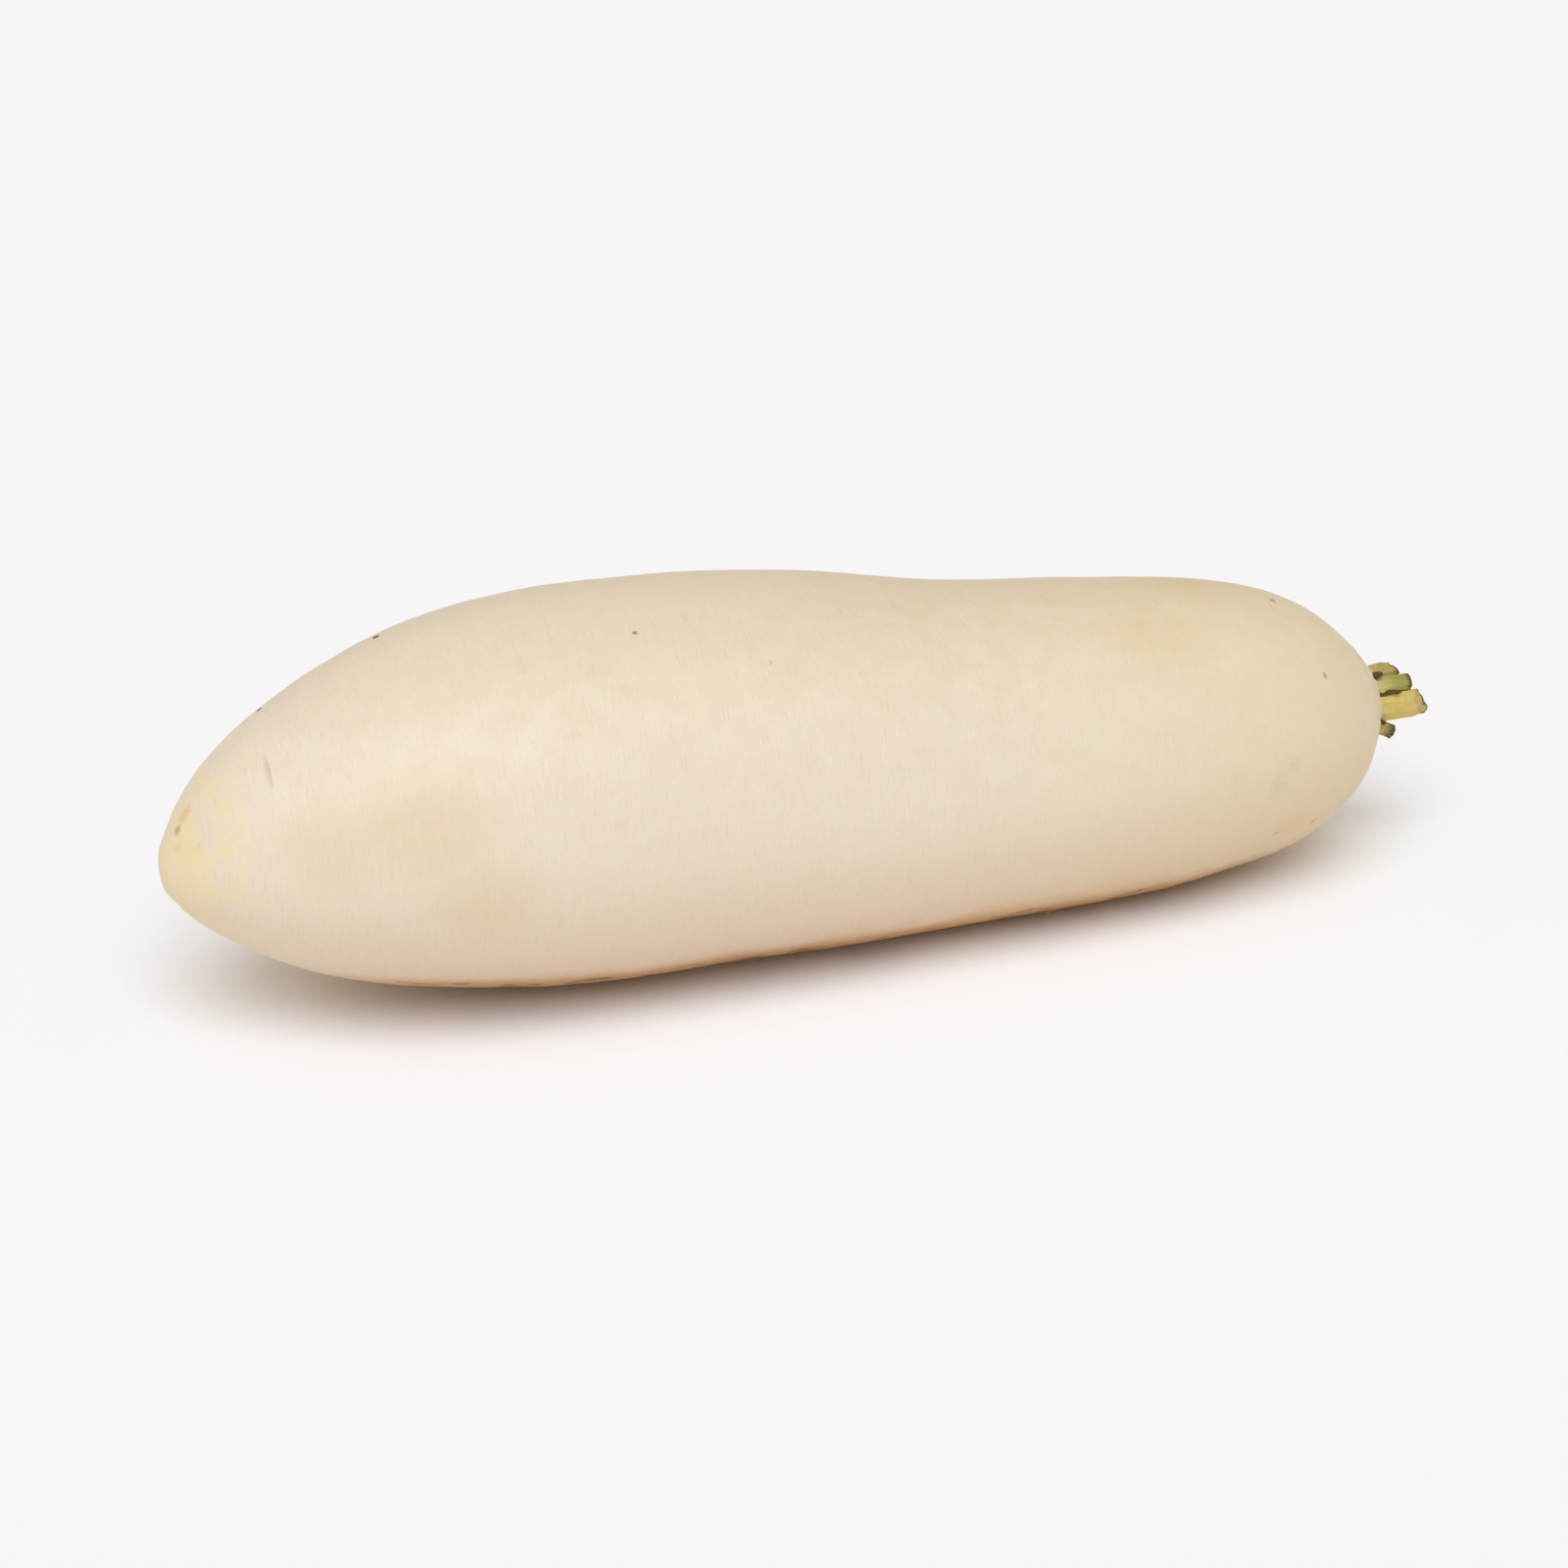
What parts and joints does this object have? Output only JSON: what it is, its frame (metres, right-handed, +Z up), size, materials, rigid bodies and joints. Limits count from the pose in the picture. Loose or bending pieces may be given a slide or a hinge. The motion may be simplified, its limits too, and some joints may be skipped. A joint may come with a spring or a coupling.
{
  "type": "daikon radish",
  "caption": "Stout white daikon root lying on its side, with a blunt tip, a domed crown and a short stem with cut leaf stalks.",
  "frame": {"origin": "on the surface that the root lies on, under the middle of its box", "axes": "+X along the root from the tip to the crown, +Z up"},
  "size_m": [0.3138, 0.092, 0.0901],
  "materials": {
    "skin": "smooth waxy skin, soft broad shine",
    "stalk": "fibrous, dried at the cuts"
  },
  "bodies": {
    "root": {"root": "skin", "leaf_stalks": "stalk"}
  },
  "joints": []
}
